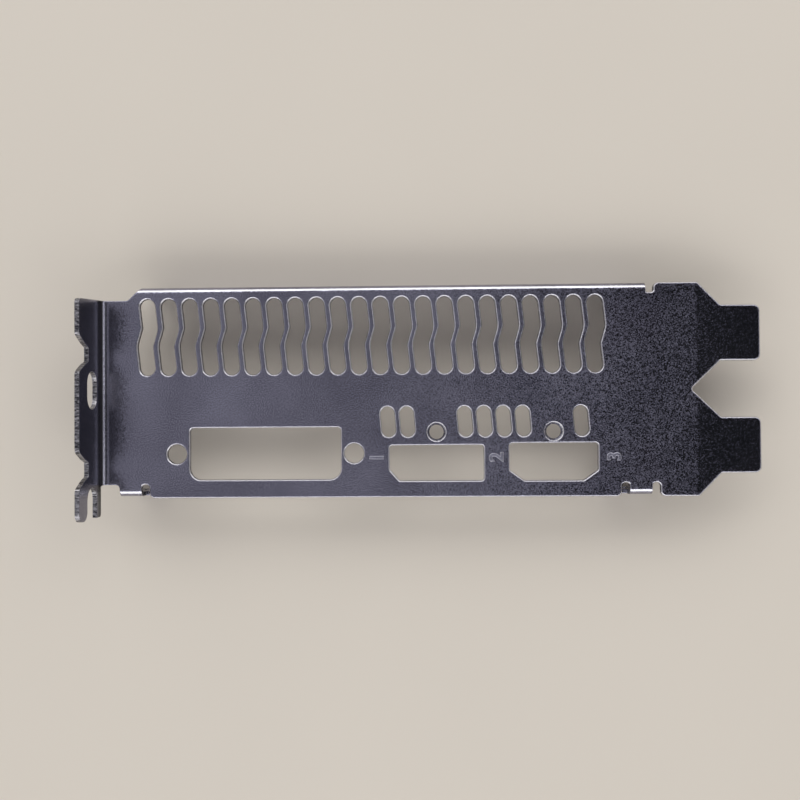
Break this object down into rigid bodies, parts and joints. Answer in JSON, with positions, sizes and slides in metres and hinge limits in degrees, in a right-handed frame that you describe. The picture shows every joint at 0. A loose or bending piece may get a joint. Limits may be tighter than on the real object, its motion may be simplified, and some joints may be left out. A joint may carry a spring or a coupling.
{
  "type": "expansion card bracket",
  "caption": "Double-width expansion-card bracket folded from sheet steel, with a wavy vent grille, connector openings, forked screw tab, stiffening flange, board ears and tongues.",
  "frame": {"origin": "under the middle of the bracket's box, on the surface that the flange and the ears stand on", "axes": "+X from the screw tab to the tongues, +Y to the edge with the stiffening flange, +Z out of the outer face"},
  "size_m": [0.1208, 0.042, 0.0196],
  "materials": {
    "plated_steel": "satin nickel plating"
  },
  "bodies": {
    "root": {"bracket": "plated_steel"}
  },
  "joints": []
}
